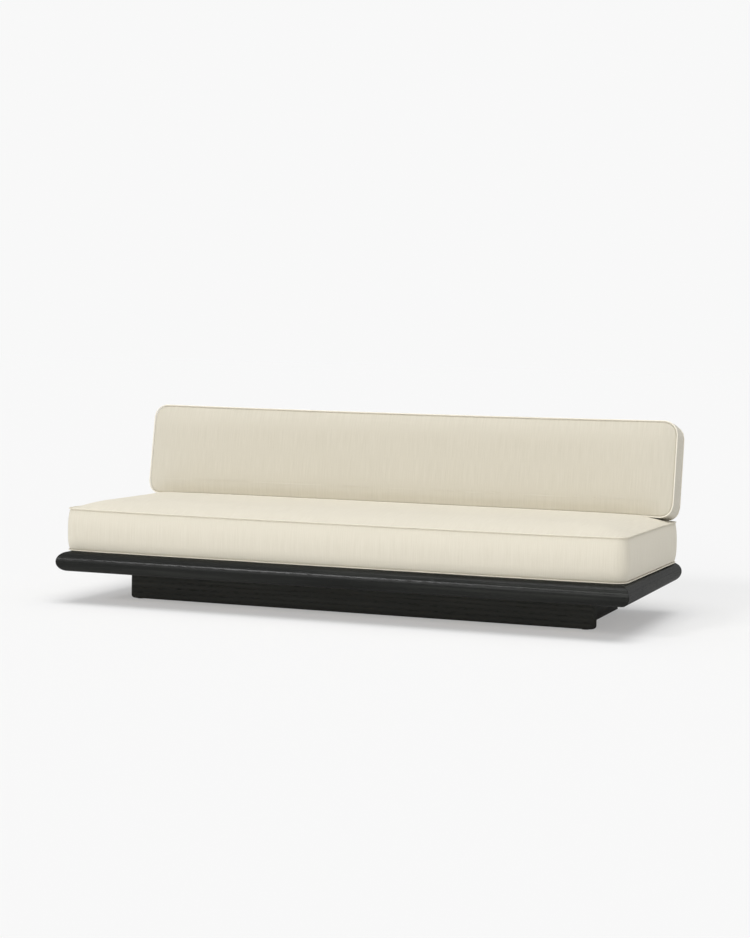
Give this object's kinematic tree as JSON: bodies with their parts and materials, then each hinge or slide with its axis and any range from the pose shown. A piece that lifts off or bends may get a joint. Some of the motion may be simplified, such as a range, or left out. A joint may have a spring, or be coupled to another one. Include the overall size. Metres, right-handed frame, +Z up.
{
  "type": "platform sofa",
  "caption": "Low armless platform sofa: a black-stained oak frame on a recessed plinth carries a long boxed seat cushion and a leaning boxed back cushion.",
  "frame": {"origin": "on the floor, under the middle of the whole sofa's box", "axes": "+X to the right as one looks at the front, along the length; +Y to the back; +Z up"},
  "size_m": [2.2, 0.956, 0.733],
  "materials": {
    "black_oak": "open-pored oak, stained black, satin lacquer",
    "birch_ply": "sanded plywood, unfinished",
    "pine": "planed softwood, unfinished",
    "cream_linen": "slubby plain-weave linen blend over bonded wadding",
    "cream_piping": "the cover's linen cut on the bias and sewn round a cord",
    "foam": "open-cell upholstery foam",
    "black_steel": "fine-textured black powder coat",
    "zinc_steel": "bright zinc plate",
    "black_nylon": "moulded and woven nylon",
    "cream_tape": "woven polyester tape"
  },
  "bodies": {
    "frame": {"rail_rear": "black_oak", "rail_front": "black_oak", "rail_right": "black_oak", "rail_left": "black_oak", "mitre_spline_front_left": "birch_ply", "mitre_spline_front_right": "birch_ply", "mitre_spline_rear_left": "birch_ply", "mitre_spline_rear_right": "birch_ply", "deck_panel": "birch_ply", "cross_rail_1": "pine", "cross_rail_2": "pine", "cross_rail_3": "pine", "cross_rail_4": "pine", "cross_rail_5": "pine", "plinth_front_board": "black_oak", "plinth_side_board_left": "black_oak", "plinth_side_board_right": "black_oak", "plinth_rear_board": "black_oak", "plinth_divider": "pine", "corner_block_front_left": "pine", "corner_block_front_right": "pine", "corner_block_rear_left": "pine", "corner_block_rear_right": "pine", "glide_front_left": "black_nylon", "glide_front_right": "black_nylon", "glide_rear_left": "black_nylon", "glide_rear_right": "black_nylon", "back_bracket_left": "black_steel", "back_bracket_centre": "black_steel", "back_bracket_right": "black_steel", "bracket_screw_left_1": "zinc_steel", "bracket_screw_left_2": "zinc_steel", "bracket_screw_centre_1": "zinc_steel", "bracket_screw_centre_2": "zinc_steel", "bracket_screw_right_1": "zinc_steel", "bracket_screw_right_2": "zinc_steel", "back_board": "black_oak", "board_screw_1": "zinc_steel", "board_screw_2": "zinc_steel", "board_screw_3": "zinc_steel", "board_screw_4": "zinc_steel", "board_screw_5": "zinc_steel", "board_screw_6": "zinc_steel", "hook_strip": "black_nylon"},
    "seat_cushion": {"seat_cover": "cream_linen", "seat_foam_base": "foam", "seat_foam_topper": "foam", "seat_piping_upper": "cream_piping", "seat_piping_lower": "cream_piping", "seat_zip": "cream_tape"},
    "back_cushion": {"back_cover": "cream_linen", "back_foam_core": "foam", "back_piping_front": "cream_piping", "back_piping_rear": "cream_piping", "back_zip": "cream_tape", "loop_strip": "cream_tape"},
    "seat_zip_slider": {"seat_zip_slider": "zinc_steel"},
    "back_zip_slider": {"back_zip_slider": "zinc_steel"}
  },
  "joints": [
    {"name": "seat_pull_out", "type": "slide", "parent": "frame", "child": "seat_cushion", "axis": [0, -1, 0], "range_m": [0, 0.95]},
    {"name": "back_lift_off", "type": "slide", "parent": "frame", "child": "back_cushion", "axis": [0, 0.165, 0.9863], "range_m": [0, 0.42]},
    {"name": "seat_zip_travel", "type": "slide", "parent": "seat_cushion", "child": "seat_zip_slider", "axis": [1, 0, 0], "range_m": [0, 1.46]},
    {"name": "back_zip_travel", "type": "slide", "parent": "back_cushion", "child": "back_zip_slider", "axis": [1, 0, 0], "range_m": [0, 1.47]}
  ]
}
